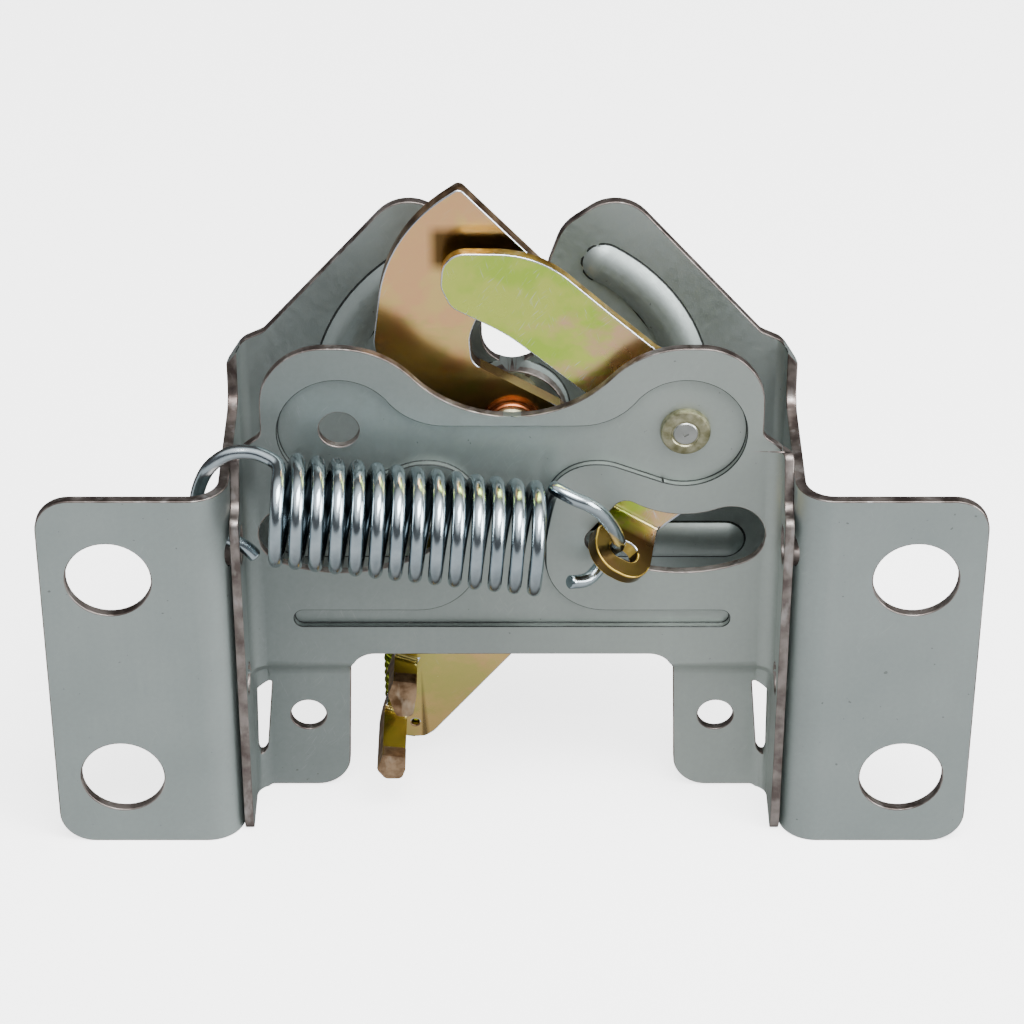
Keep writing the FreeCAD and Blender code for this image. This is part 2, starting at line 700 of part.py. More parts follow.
# Coil made of half turns, each a true half circle leaning by a quarter of the pitch
# start: centre of the first end, axis: unit vector, up: unit vector to the first end of the wire
def coil_edges(start, axis, up, radius, pitch, turns):
    front = axis.cross(up)
    edges = []
    for half_turn in range(2 * turns):
        sign = 1 if half_turn % 2 == 0 else -1
        begin = start + axis * (pitch * half_turn / 2) + up * (radius * sign)
        middle = start + axis * (pitch * (half_turn + 0.5) / 2) + front * (radius * sign)
        end = start + axis * (pitch * (half_turn + 1) / 2) - up * (radius * sign)
        edges.append(Part.Arc(begin, middle, end).toShape())
    return edges


# Round wire along a path of joined edges
def round_wire(edges, radius):
    first = edges[0].FirstParameter
    circle = Part.Circle(edges[0].valueAt(first), edges[0].tangentAt(first), radius)
    section = Part.Wire(circle.toShape())
    return Part.Wire(edges).makePipeShell([section], True, False)


def lifter_spring():
    start = Vector(lifter_start_x, lifter_axis_y, lifter_start_z)
    end = Vector(lifter_end_x, lifter_axis_y, lifter_end_z)
    axis = (end - start).normalize()
    pitch = start.distanceToPoint(end) / lifter_turns
    up = Vector(0, -1, 0).cross(axis).normalize()
    top = start + up * lifter_coil_radius
    last = end + up * lifter_coil_radius
    level = Vector(0, 1, 0)
    left = [
        (Vector(2.0 - inner_inside, hook_hole_y, hook_hole_z - 1.0), 0),
        (Vector(-wall_outer - hook_wall_gap, hook_hole_y, hook_hole_z - 1.0), 3.0),
        (Vector(-wall_outer - hook_wall_gap - 0.4, hook_hole_y, hook_hole_z + 11.3), 6.0),
        (Vector(-inner_inside - 0.8, hook_hole_y - 1.0, top.z + 1.0), 8.0),
        (top + level * 2.6, 2.4), (top, 0)]
    corner, along, ahead, through = tab_axes()
    across = tab_hole_along - tab_hole_length / 2 + lifter_wire / 2 + hook_slack
    in_hole = corner + along * across + ahead * tab_hole_reach
    right = [
        (last, 0), (last - level * 1.8, 1.5), (Vector(10.4, 0.4, 36.2), 4.0), (Vector(16.2, 3.7, 31.4), 5.0),
        (in_hole - through * 3.0, 4.0), (in_hole + through * 4.2, 2.8), (Vector(10.2, 4.4, 16.3), 0)]
    edges = bent_path(left)
    edges.extend(coil_edges(start, axis, up, lifter_coil_radius, pitch, lifter_turns))
    edges.extend(bent_path(right))
    return round_wire(edges, lifter_wire / 2)


def return_spring():
    axis_y = (hook_back + back_front) / 2
    pitch = (return_top_z - return_hole_z) / return_turns
    start = Vector(return_axis_x, axis_y, return_hole_z)
    axis = Vector(0, 0, 1)
    up = Vector(1, 0, 0)
    bottom = start + up * return_coil_radius
    top = Vector(return_end_x, axis_y, return_top_z)
    low = [
        (Vector(bottom.x, hook_front - 1.6, bottom.z + return_hook), 0),
        (Vector(bottom.x, hook_front - 1.6, bottom.z), 1.0), (bottom, 0)]
    edges = bent_path(low)
    edges.extend(coil_edges(start, axis, up, return_coil_radius, pitch, return_turns))
    high = [
        (top, 0), (Vector(top.x, box_depth + 1.6, top.z), 1.0),
        (Vector(top.x, box_depth + 1.6, top.z - return_hook), 0)]
    edges.extend(bent_path(high))
    return round_wire(edges, return_wire / 2)


pieces = {
    "mounting_bracket": mounting_bracket,
    "inner_bracket": inner_bracket,
    "catch_hook": catch_hook,
    "lifter_lever": lifter_lever,
    "lifter_rivet": lifter_rivet,
    "lifter_washer": lifter_washer,
    "lifter_bush": lifter_bush,
    "catch_rivet": catch_rivet,
    "catch_bush": catch_bush,
    "catch_collar": catch_collar,
    "lifter_spring": lifter_spring,
    "return_spring": return_spring,
}

os.makedirs("parts", exist_ok=True)
for name, build in pieces.items():
    solids = build().Solids
    print(name, len(solids), solids[0].isValid(), round(solids[0].Volume, 1))
    solids[0].exportStep("parts/" + name + ".step")
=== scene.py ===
import math

import bmesh
import bpy
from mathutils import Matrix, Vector
from mathutils.bvhtree import BVHTree


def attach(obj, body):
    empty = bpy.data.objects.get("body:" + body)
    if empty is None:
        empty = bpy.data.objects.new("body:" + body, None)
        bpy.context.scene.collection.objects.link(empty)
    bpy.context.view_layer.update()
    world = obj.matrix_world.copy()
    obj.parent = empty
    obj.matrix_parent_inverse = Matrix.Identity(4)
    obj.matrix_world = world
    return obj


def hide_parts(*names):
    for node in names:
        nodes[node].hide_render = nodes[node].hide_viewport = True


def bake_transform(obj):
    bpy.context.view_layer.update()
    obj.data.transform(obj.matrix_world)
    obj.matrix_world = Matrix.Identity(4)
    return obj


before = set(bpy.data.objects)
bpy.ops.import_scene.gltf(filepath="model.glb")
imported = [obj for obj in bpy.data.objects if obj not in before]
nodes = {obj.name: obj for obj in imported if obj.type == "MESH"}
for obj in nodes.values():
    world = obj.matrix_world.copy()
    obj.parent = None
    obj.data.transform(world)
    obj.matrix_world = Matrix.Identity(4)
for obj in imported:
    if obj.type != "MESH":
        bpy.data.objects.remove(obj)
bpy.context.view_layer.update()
mm = 0.001    # the scene is in metres
print("latch: frame loaded")


# camera at the photograph's angle, looking down on the front of the latch
photoView = {
    "place": (0.0, -0.4863, 0.3564),
    "tilt": 56.43,
    "lens": 122.6,
    "sensor": 36.0,
    "nearest": 0.01,
}
cameraData = bpy.data.cameras.new("photoCamera")
cameraData.lens = photoView["lens"]
cameraData.sensor_width = photoView["sensor"]
cameraData.sensor_fit = "HORIZONTAL"
cameraData.clip_start = photoView["nearest"]
photoCamera = bpy.data.objects.new("photoCamera", cameraData)
photoCamera.location = photoView["place"]
photoCamera.rotation_euler = (math.radians(photoView["tilt"]), 0, 0)
bpy.context.collection.objects.link(photoCamera)
bpy.context.scene.camera = photoCamera


def newMaterial(name):
    material = bpy.data.materials.new(name)
    material.use_nodes = True
    tree = material.node_tree
    return material, tree, tree.nodes["Principled BSDF"]


def objectPoints(tree, stretch=(1, 1, 1)):
    coords = tree.nodes.new("ShaderNodeTexCoord")
    mapping = tree.nodes.new("ShaderNodeMapping")
    mapping.inputs["Scale"].default_value = stretch
    tree.links.new(coords.outputs["Object"], mapping.inputs["Vector"])
    return mapping.outputs["Vector"]


def noiseOf(tree, points, scale=1.0, detail=4.0, rough=0.55):
    noise = tree.nodes.new("ShaderNodeTexNoise")
    noise.inputs["Scale"].default_value = scale
    noise.inputs["Detail"].default_value = detail
    noise.inputs["Roughness"].default_value = rough
    tree.links.new(points, noise.inputs["Vector"])
    return noise.outputs["Fac"]


def rampOf(tree, factor, stops):
    ramp = tree.nodes.new("ShaderNodeValToRGB")
    elements = ramp.color_ramp.elements
    while len(elements) < len(stops):
        elements.new(0.5)
    for element, (place, colour) in zip(elements, stops):
        element.position = place
        element.color = (*colour, 1)
    tree.links.new(factor, ramp.inputs["Fac"])
    return ramp.outputs["Color"]


# dark up to one level of the noise, light from another
def tonesOf(tree, factor, levels, dark, light):
    return rampOf(tree, factor, [(levels[0], dark), (levels[1], light)])


# most noise lies between 0.3 and 0.7
def rangeOf(tree, factor, low, high, fromLow=0.3, fromHigh=0.7):
    span = tree.nodes.new("ShaderNodeMapRange")
    span.inputs["From Min"].default_value = fromLow
    span.inputs["From Max"].default_value = fromHigh
    span.inputs["To Min"].default_value = low
    span.inputs["To Max"].default_value = high
    tree.links.new(factor, span.inputs["Value"])
    return span.outputs["Result"]


# 0 up to one level, rising to its full reach at another
def maskOf(tree, factor, levels=(0.3, 0.7), reach=1.0):
    return rangeOf(tree, factor, 0.0, reach, *levels)


def weakened(tree, mask, reach):
    return maskOf(tree, mask, (0.0, 1.0), reach)


def mixOf(tree, factor, first, second, blend="MIX"):
    mix = tree.nodes.new("ShaderNodeMix")
    mix.data_type = "RGBA"
    mix.blend_type = blend
    tree.links.new(factor, mix.inputs[0])
    for socket, value in ((mix.inputs[6], first), (mix.inputs[7], second)):    # the two colours
        if isinstance(value, tuple):
            socket.default_value = (*value, 1)
        else:
            tree.links.new(value, socket)
    return mix.outputs[2]


def mathOf(tree, operation, first, second):
    node = tree.nodes.new("ShaderNodeMath")
    node.operation = operation
    tree.links.new(first, node.inputs[0])
    tree.links.new(second, node.inputs[1])
    return node.outputs[0]


# how far a point lies along one axis, from 0 at the start to 1 at the end
def driftOf(tree, axis, start, end):
    parts = tree.nodes.new("ShaderNodeSeparateXYZ")
    tree.links.new(objectPoints(tree), parts.inputs["Vector"])
    return maskOf(tree, parts.outputs[axis], (start * mm, end * mm))


# how much a point belongs to a round mark on the surface
def markOf(tree, centre, radius, soft):
    gap = tree.nodes.new("ShaderNodeVectorMath")
    gap.operation = "DISTANCE"
    gap.inputs[1].default_value = [value * mm for value in centre]
    tree.links.new(objectPoints(tree), gap.inputs[0])
    return rangeOf(tree, gap.outputs["Value"], 1.0, 0.0, (radius - soft) * mm, radius * mm)


def bumpOf(tree, shader, height, strength, depth):
    bump = tree.nodes.new("ShaderNodeBump")
    bump.inputs["Strength"].default_value = strength
    bump.inputs["Distance"].default_value = depth
    tree.links.new(height, bump.inputs["Height"])
    tree.links.new(bump.outputs["Normal"], shader.inputs["Normal"])


def platedWith(tree, shader, colour, roughness, metal=1.0):
    tree.links.new(colour, shader.inputs["Base Color"])
    tree.links.new(roughness, shader.inputs["Roughness"])
    shader.inputs["Metallic"].default_value = metal


# thin curved lines in three directions, broken up into patches
scratchLook = {
    "ways": ((0.75, 3.0), (1.05, 7.0), (1.9, 11.0)),    # angle and seed of each direction
    "wanderScale": 60.0,
    "wander": (0.0025, 0.0025, 0.0025),
    "drawn": (240, 240, 5200),
    "lineLevels": (0.66, 0.74),
    "patchScale": 130.0,
    "patchLevels": (0.48, 0.62),
}


def scratchLines(tree):
    total = None
    points = objectPoints(tree)
    wander = tree.nodes.new("ShaderNodeTexNoise")
    wander.inputs["Scale"].default_value = scratchLook["wanderScale"]
    tree.links.new(points, wander.inputs["Vector"])
    bent = tree.nodes.new("ShaderNodeVectorMath")
    bent.operation = "MULTIPLY_ADD"
    bent.inputs[1].default_value = scratchLook["wander"]
    tree.links.new(wander.outputs["Color"], bent.inputs[0])
    tree.links.new(points, bent.inputs[2])
    for turn, seed in scratchLook["ways"]:
        turned = tree.nodes.new("ShaderNodeMapping")
        turned.inputs["Rotation"].default_value = (0, turn, 0)
        turned.inputs["Location"].default_value = (seed, seed, seed)
        tree.links.new(bent.outputs["Vector"], turned.inputs["Vector"])
        drawn = tree.nodes.new("ShaderNodeMapping")
        drawn.inputs["Scale"].default_value = scratchLook["drawn"]
        tree.links.new(turned.outputs["Vector"], drawn.inputs["Vector"])
        lines = noiseOf(tree, drawn.outputs["Vector"], detail=1.0)
        sharp = maskOf(tree, lines, scratchLook["lineLevels"])
        worn = noiseOf(tree, points, scratchLook["patchScale"] + seed, detail=2.0)
        patches = maskOf(tree, worn, scratchLook["patchLevels"])
        both = mathOf(tree, "MULTIPLY", sharp, patches)
        total = both if total is None else mathOf(tree, "MAXIMUM", total, both)
    return total


# satin zinc on the pressed sheets: soft grey-green clouds, rolled grain, small dark specks
zincLook = {
    "cloudScale": 38.0,
    "cloudLevels": (0.32, 0.68),
    "rolledStretch": (900, 900, 60),
    "rolledReach": 0.35,
    "speckScale": 900.0,
    "speckLevels": (0.77, 0.80),
    "speckReach": 0.5,
    "speckTone": (0.06, 0.055, 0.05),
    "scratchReach": 0.10,
    "scratchTone": (0.7, 0.72, 0.72),
    "markSoft": 0.45,    # share of a mark's radius that fades out
    "markScale": 700.0,
    "markLow": 0.3,
    "metal": 0.92,
    "grainScale": 1100.0,
    "bump": 0.10,
    "bumpDepth": 0.00004,
}


def zincMaterial(name, dark, light, smooth, dull, marks=(), drift=None):
    material, tree, shader = newMaterial(name)
    points = objectPoints(tree)
    clouds = noiseOf(tree, points, zincLook["cloudScale"], detail=5.0)
    grain = noiseOf(tree, points, zincLook["grainScale"], detail=2.0)
    rolled = noiseOf(tree, objectPoints(tree, zincLook["rolledStretch"]), detail=3.0)
    colour = tonesOf(tree, clouds, zincLook["cloudLevels"], dark, light)
    colour = mixOf(tree, maskOf(tree, rolled, reach=zincLook["rolledReach"]), colour, dark)
    # a drift paints shade: the colour darkens towards one end of the piece
    if drift:
        near = rangeOf(tree, driftOf(tree, "X", *drift["reach"]), 1.0, 0.0, 0.0, 1.0)
        colour = mixOf(tree, near, colour, drift["tone"], "MULTIPLY")
    specks = noiseOf(tree, points, zincLook["speckScale"], detail=1.0)
    specks = maskOf(tree, specks, zincLook["speckLevels"], zincLook["speckReach"])
    colour = mixOf(tree, specks, colour, zincLook["speckTone"])
    scratches = weakened(tree, scratchLines(tree), zincLook["scratchReach"])
    colour = mixOf(tree, scratches, colour, zincLook["scratchTone"])
    for centre, radius, tone, strength in marks:
        spot = markOf(tree, centre, radius, radius * zincLook["markSoft"])
        burnt = noiseOf(tree, points, zincLook["markScale"], detail=2.0)
        mottled = mathOf(tree, "MULTIPLY", spot, rangeOf(tree, burnt, zincLook["markLow"], 1.0))
        colour = mixOf(tree, weakened(tree, mottled, strength), colour, tone)
    platedWith(tree, shader, colour, rangeOf(tree, grain, smooth, dull), zincLook["metal"])
    bumpOf(tree, shader, grain, zincLook["bump"], zincLook["bumpDepth"])
    return material


# sheared edges of the sheets: brown-grey stain with bright streaks left by the press
cutEdgeLook = {
    "stainScale": 240.0,
    "stainLevels": (0.38, 0.62),
    "streakStretch": (420, 420, 160),
    "streakLevels": (0.55, 0.68),
    "smooth": 0.28,
    "dull": 0.5,
    "metal": 0.9,
    "grainScale": 1300.0,
    "bump": 0.35,
    "bumpDepth": 0.00008,
}


def cutEdgeMaterial(name, dark, light, streak, streakReach):
    material, tree, shader = newMaterial(name)
    points = objectPoints(tree)
    stain = noiseOf(tree, points, cutEdgeLook["stainScale"], detail=5.0)
    colour = tonesOf(tree, stain, cutEdgeLook["stainLevels"], dark, light)
    streaks = noiseOf(tree, objectPoints(tree, cutEdgeLook["streakStretch"]), detail=3.0)
    streaks = maskOf(tree, streaks, cutEdgeLook["streakLevels"], streakReach)
    colour = mixOf(tree, streaks, colour, streak)
    roughness = rangeOf(tree, stain, cutEdgeLook["smooth"], cutEdgeLook["dull"])
    platedWith(tree, shader, colour, roughness, cutEdgeLook["metal"])
    grain = noiseOf(tree, points, cutEdgeLook["grainScale"], detail=3.0)
    bumpOf(tree, shader, grain, cutEdgeLook["bump"], cutEdgeLook["bumpDepth"])
    return material


# yellow passivated plate: coloured clouds that drift along the piece, fine bright scratches, and
# dark brown patches of painted shade and reflection
passivateLook = {
    "straw": (0.98, 0.68, 0.26),
    "rose": (1.0, 0.56, 0.27),
    "moss": (0.66, 0.66, 0.18),
    "lime": (0.58, 0.82, 0.10),
    "pear": (0.76, 0.86, 0.17),
    "pink": (0.98, 0.54, 0.38),
    "brown": (0.12, 0.065, 0.02),
    "scratch": (0.92, 0.94, 0.92),
    "cloudScale": 95.0,
    "cloudLevels": (0.42, 0.54),
    "patchScale": 66.5,
    "patchStretch": (1.0, 1.0, 1.4),
    "patchDrift": (-0.13, 0.10),
    "patchLevels": (0.48, 0.60),
    "patchReach": 0.85,
    "fineScale": 475.0,
    "fineReach": 0.22,
    "paintedShadeReach": 0.96,
    "metal": 1.0,
    "grainScale": 500.0,
    "bump": 0.08,
    "bumpDepth": 0.00005,
}


def passivateMaterial(name, tones, smooth, dull, scratchReach, drift, dark):
    look = passivateLook
    material, tree, shader = newMaterial(name)
    points = objectPoints(tree)
    clouds = noiseOf(tree, points, look["cloudScale"])
    stretched = objectPoints(tree, look["patchStretch"])
    patches = noiseOf(tree, stretched, look["patchScale"], rough=0.6)
    fine = noiseOf(tree, points, look["fineScale"], detail=3.0, rough=0.6)
    first, middle, last = [look[tone] for tone in tones]
    colour = tonesOf(tree, clouds, look["cloudLevels"], first, middle)
    shift = rangeOf(tree, driftOf(tree, *drift), *look["patchDrift"], 0.0, 1.0)
    patches = mathOf(tree, "ADD", patches, shift)
    patches = maskOf(tree, patches, look["patchLevels"], look["patchReach"])
    colour = mixOf(tree, patches, colour, last)
    colour = mixOf(tree, maskOf(tree, fine, reach=look["fineReach"]), colour, middle)
    scratches = weakened(tree, scratchLines(tree), scratchReach)
    colour = mixOf(tree, scratches, colour, look["scratch"])
    # painted shade and reflection: each patch mixes the colour towards dark brown
    for spans in dark:    # a dark patch lies where all its spans are reached
        shaded = driftOf(tree, *spans[0])
        for span in spans[1:]:
            shaded = mathOf(tree, "MULTIPLY", shaded, driftOf(tree, *span))
        colour = mixOf(tree, weakened(tree, shaded, look["paintedShadeReach"]), colour, look["brown"])
    platedWith(tree, shader, colour, rangeOf(tree, clouds, smooth, dull), look["metal"])
    grain = noiseOf(tree, points, look["grainScale"], detail=3.0)
    bumpOf(tree, shader, grain, look["bump"], look["bumpDepth"])
    return material


# turned and drawn metal with a light stain
metalLook = {
    "stainLevels": (0.32, 0.68),
    "grainFiner": 4,    # times the stain's scale
    "bumpDepth": 0.00005,
}


def metalMaterial(name, dark, light, smooth, dull, scale=300.0, bump=0.1):
    material, tree, shader = newMaterial(name)
    points = objectPoints(tree)
    stain = noiseOf(tree, points, scale)
    colour = tonesOf(tree, stain, metalLook["stainLevels"], dark, light)
    platedWith(tree, shader, colour, rangeOf(tree, stain, smooth, dull))
    grain = noiseOf(tree, points, scale * metalLook["grainFiner"], detail=2.0)
    bumpOf(tree, shader, grain, bump, metalLook["bumpDepth"])
    return material


# bright drawn wire; the sides that face the next turn are painted dark as shade
wireLook = {
    "stainScale": 260.0,
    "stainLevels": (0.32, 0.68),
    "shadeBreakupScale": 900.0,
    "shadeBreakupSpread": 0.08,
    "innerShadeLevels": (0.30, 0.72),
    "smooth": 0.16,
    "dull": 0.24,
    "drawnStretch": (2600, 500, 500),
    "bump": 0.12,
    "bumpDepth": 0.00003,
}


def wireMaterial(name, dark, light, shade):
    material, tree, shader = newMaterial(name)
    points = objectPoints(tree)
    stain = noiseOf(tree, points, wireLook["stainScale"])
    outward = tree.nodes.new("ShaderNodeAttribute")
    outward.attribute_name = "outward"
    colour = tonesOf(tree, stain, wireLook["stainLevels"], dark, light)
    # painted shade on the wire's inner sides, its edge broken up by noise
    shadeBreakup = noiseOf(tree, points, wireLook["shadeBreakupScale"], detail=2.0)
    shadeBreakup = rangeOf(tree, shadeBreakup, -wireLook["shadeBreakupSpread"], wireLook["shadeBreakupSpread"])
    bright = mathOf(tree, "ADD", outward.outputs["Fac"], shadeBreakup)
    bright = maskOf(tree, bright, wireLook["innerShadeLevels"])
    colour = mixOf(tree, bright, shade, colour)
    roughness = rangeOf(tree, stain, wireLook["smooth"], wireLook["dull"])
    platedWith(tree, shader, colour, roughness)
    drawn = noiseOf(tree, objectPoints(tree, wireLook["drawnStretch"]), detail=2.0)
    bumpOf(tree, shader, drawn, wireLook["bump"], wireLook["bumpDepth"])
    return material


# burnt rings and stains on the inner walls, each as centre, radius, tone and strength
wallMarks = [
    ((-42.9, 6.0, -5.6), 4.0, (0.05, 0.03, 0.022), 0.85),
    ((42.9, 6.0, -5.6), 4.0, (0.03, 0.025, 0.022), 0.9),
    ((42.9, 4.6, 22.2), 4.6, (0.03, 0.025, 0.022), 0.9),
    ((-42.9, 4.6, 22.2), 4.6, (0.03, 0.025, 0.022), 0.8),
    ((-42.9, 7.0, -19.0), 3.4, (0.12, 0.055, 0.025), 0.8),
    ((-42.9, 3.0, 9.0), 4.2, (0.13, 0.14, 0.15), 0.7),
]
# painted shade: the inner bracket is darker towards its left side, where it lies in shade
innerPaintedShade = {
    "reach": (-42.0, 22.0),
    "tone": (0.64, 0.66, 0.68),
}
# spans in mm; painted shade lies on the lever's tab, and painted shade and dark reflection on the
# hook at its pivot, over the lever and on its arm
# painted shade: the lever's tab is dark brown towards the front
leverPaintedShade = [[("Y", 13.4, 11.4)]]
hookPaintedShade = [
    [("Z", 52.0, 38.0), ("Z", 5.0, 25.0)],
    # painted reflection and shadow of the lever on the hook
    [("X", -14.4, -12.4), ("Z", 68.0, 70.5), ("Z", 77.6, 75.4)],
    [("Z", 6.0, -62.0)],
]
mountingZinc = zincMaterial("mountingZinc", dark=(0.31, 0.352, 0.343), light=(0.355, 0.402, 0.39),
                            smooth=0.46, dull=0.56)
innerZinc = zincMaterial("innerZinc", dark=(0.325, 0.36, 0.338), light=(0.37, 0.408, 0.384),
                         smooth=0.44, dull=0.54, marks=wallMarks, drift=innerPaintedShade)
# painted crease shade: near-black zinc for the roundings of the pressed steps and folds
creasePaintedShade = zincMaterial("creasePaintedShade", dark=(0.030, 0.033, 0.032), light=(0.060, 0.066, 0.064),
                          smooth=0.40, dull=0.50)
cutEdge = cutEdgeMaterial("cutEdge", dark=(0.11, 0.088, 0.08), light=(0.26, 0.228, 0.212),
                          streak=(0.55, 0.53, 0.51), streakReach=0.4)
leverPassivate = passivateMaterial("leverPassivate", tones=("pear", "lime", "pink"),
                                   smooth=0.26, dull=0.34, scratchReach=0.75,
                                   drift=("X", -2.0, 20.0), dark=leverPaintedShade)
hookPassivate = passivateMaterial("hookPassivate", tones=("rose", "straw", "moss"),
                                  smooth=0.20, dull=0.28, scratchReach=0.2,
                                  drift=("Z", 60.0, -10.0), dark=hookPaintedShade)
leverEdge = cutEdgeMaterial("leverEdge", dark=(0.28, 0.16, 0.025), light=(0.66, 0.46, 0.10),
                            streak=(0.85, 0.72, 0.36), streakReach=0.35)
hookEdge = cutEdgeMaterial("hookEdge", dark=(0.085, 0.045, 0.02), light=(0.34, 0.23, 0.14),
                           streak=(0.66, 0.56, 0.42), streakReach=0.35)
silverEdge = metalMaterial("silverEdge", dark=(0.62, 0.67, 0.74), light=(0.84, 0.87, 0.92),
                           smooth=0.20, dull=0.30)
springZinc = wireMaterial("springZinc", dark=(0.42, 0.50, 0.54), light=(0.56, 0.64, 0.68),
                          shade=(0.035, 0.05, 0.06))
springYellow = metalMaterial("springYellow", dark=(0.40, 0.50, 0.02), light=(0.62, 0.72, 0.08),
                             smooth=0.18, dull=0.28)
rivetOlive = metalMaterial("rivetOlive", dark=(0.22, 0.21, 0.11), light=(0.50, 0.48, 0.33),
                           smooth=0.34, dull=0.46, scale=700.0, bump=0.3)
rivetGrey = metalMaterial("rivetGrey", dark=(0.36, 0.37, 0.35), light=(0.46, 0.47, 0.45),
                          smooth=0.34, dull=0.42, scale=400.0, bump=0.15)
bushCopper = metalMaterial("bushCopper", dark=(0.42, 0.11, 0.04), light=(0.66, 0.25, 0.12),
                           smooth=0.28, dull=0.38, scale=420.0, bump=0.2)
print("latch: finishes made")


# how the faces and edges of a pressed sheet are told apart
sheetTests = {
    "sameSpot": 0.000002,
    "sameDepth": 0.000001,
    "sameLevel": 0.00002,
    "flat": math.radians(0.6),
    "sharp": math.radians(50),
    "lookStart": 0.00005,    # how far below a face the search for its other side starts
    "lookReach": 2.2,        # and how many sheets it goes
    "backed": 0.4,           # least share of a face that has another side, or else it is a cut
    "standing": 0.2,
    "stepAngle": 0.6,
    "jogAngle": 0.3,
    "jogSide": 43.1 * mm,    # the jogs end at the inner walls
}
roundingSteps = {
    "rim": 2,
    "step": 3,
    "jog": 4,
}
# the crease place holds painted crease shade on the zinc sheets, and the edge finish on the lever
# and hook
surface, cut, rim, crease = range(4)    # places in a look's list of finishes


# faces of the sheet's thickness: over most of their area no face lies one sheet behind them
def cutFaces(mesh, sheet, most):
    tree = BVHTree.FromBMesh(mesh)
    whole, backed = {}, {}
    for loops in mesh.calc_loop_triangles():
        a, b, c = [loop.vert.co for loop in loops]
        face = loops[0].face
        area = (b - a).cross(c - a).length
        start = (a + b + c) / 3 - face.normal * sheetTests["lookStart"]
        hit = tree.ray_cast(start, -face.normal, sheet * sheetTests["lookReach"])
        whole[face] = whole.get(face, 0) + area
        if hit[0] is not None and hit[3] < sheet * most:
            backed[face] = backed.get(face, 0) + area
    return [face for face in mesh.faces
            if backed.get(face, 0) < whole.get(face, 1) * sheetTests["backed"]]


def sharpEdges(mesh, least):
    return [edge for edge in mesh.edges
            if len(edge.link_faces) == 2 and least < edge.calc_face_angle(0) < math.pi]


# walls of the steps that the press leaves, each one press depth high, and the steps' edges
def pressedSteps(mesh, levels):
    same = sheetTests["sameLevel"]
    walls, edges = [], set()
    for face in mesh.faces:
        if abs(face.normal.y) > sheetTests["standing"]:
            continue
        depths = [vert.co.y for vert in face.verts]
        for low, high in levels:
            if abs(min(depths) - low) < same and abs(max(depths) - high) < same:
                walls.append(face)
                for edge in face.edges:
                    rise = abs(edge.verts[0].co.y - edge.verts[1].co.y)
                    if rise < sheetTests["sameDepth"]:
                        edges.add(edge)
    return walls, [edge for edge in edges if len(edge.link_faces) == 2
                   and edge.calc_face_angle(0) > sheetTests["stepAngle"]]


# folds of the legs' jogs, which lie level at the given heights
def jogEdges(mesh, heights):
    same = sheetTests["sameLevel"]
    found = []
    for edge in mesh.edges:
        first, second = edge.verts
        for height in heights:
            if abs(first.co.z - height) < same and abs(second.co.z - height) < same:
                found.append(edge)
    return [edge for edge in found if len(edge.link_faces) == 2
            and edge.calc_face_angle(0) > sheetTests["jogAngle"]
            and max(abs(vert.co.x) for vert in edge.verts) < sheetTests["jogSide"]]


def rounded(mesh, edges, width, segments):
    if not edges:
        return []
    made = bmesh.ops.bevel(mesh, geom=edges, offset=width, offset_type="OFFSET",
                           segments=segments, profile=0.5, affect="EDGES",
                           clamp_overlap=False, loop_slide=True)
    return made["faces"]


def paint(faces, place):
    for face in faces:
        face.material_index = place


# a sheet piece in its CAD shape, with small roundings and a finish for each kind of face; on the
# zinc sheets the roundings off the cuts carry painted crease shade
def skinOf(nodeName, name, body, look):
    source = nodes[nodeName]
    skin = bpy.data.objects.new(name, source.data.copy())
    bpy.context.collection.objects.link(skin)
    skin.data.materials.clear()
    for material in look["finishes"]:
        skin.data.materials.append(material)
    mesh = bmesh.new()
    mesh.from_mesh(skin.data)
    bmesh.ops.remove_doubles(mesh, verts=mesh.verts, dist=sheetTests["sameSpot"])
    bmesh.ops.dissolve_limit(mesh, angle_limit=sheetTests["flat"], verts=mesh.verts,
                             edges=mesh.edges)
    mesh.normal_update()
    paint(mesh.faces, surface)
    paint(cutFaces(mesh, look["sheet"], look["sheetMost"]), cut)
    if "jogs" in look:
        folds = jogEdges(mesh, look["jogs"])
        paint(rounded(mesh, folds, look["jogRound"], roundingSteps["jog"]), surface)
    if "steps" in look:
        walls, steps = pressedSteps(mesh, look["steps"])
        paint(walls, surface)
        # painted crease shade on the roundings of the steps' edges
        paint(rounded(mesh, steps, look["stepRound"], roundingSteps["step"]), crease)
    rims = sharpEdges(mesh, sheetTests["sharp"])
    if "leave" in look:
        rims = [edge for edge in rims if not look["leave"](edge)]
    cutRims, softRims = [], []
    for edge in rims:
        onCut = any(face.material_index == cut for face in edge.link_faces)
        (cutRims if onCut else softRims).append(edge)
    paint(rounded(mesh, cutRims, look["edgeRound"], roundingSteps["rim"]), rim)
    softRims = [edge for edge in softRims if edge.is_valid]
    # painted crease shade on the roundings of edges off the cuts, on the zinc sheets
    paint(rounded(mesh, softRims, look["edgeRound"], roundingSteps["rim"]), crease)
    for face in mesh.faces:
        face.smooth = True
    for edge in sharpEdges(mesh, sheetTests["sharp"]):
        edge.smooth = False
    mesh.to_mesh(skin.data)
    mesh.free()
    normals = skin.modifiers.new("evenNormals", "WEIGHTED_NORMAL")
    normals.keep_sharp = True
    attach(skin, body)
    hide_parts(nodeName)


# the cable fingers at the hook's foot keep their edges as they are
fingers = {
    "top": -9.0 * mm,
    "back": 19.85 * mm,
}


def onFinger(edge):
    return all(vert.co.z < fingers["top"] and vert.co.y < fingers["back"] for vert in edge.verts)


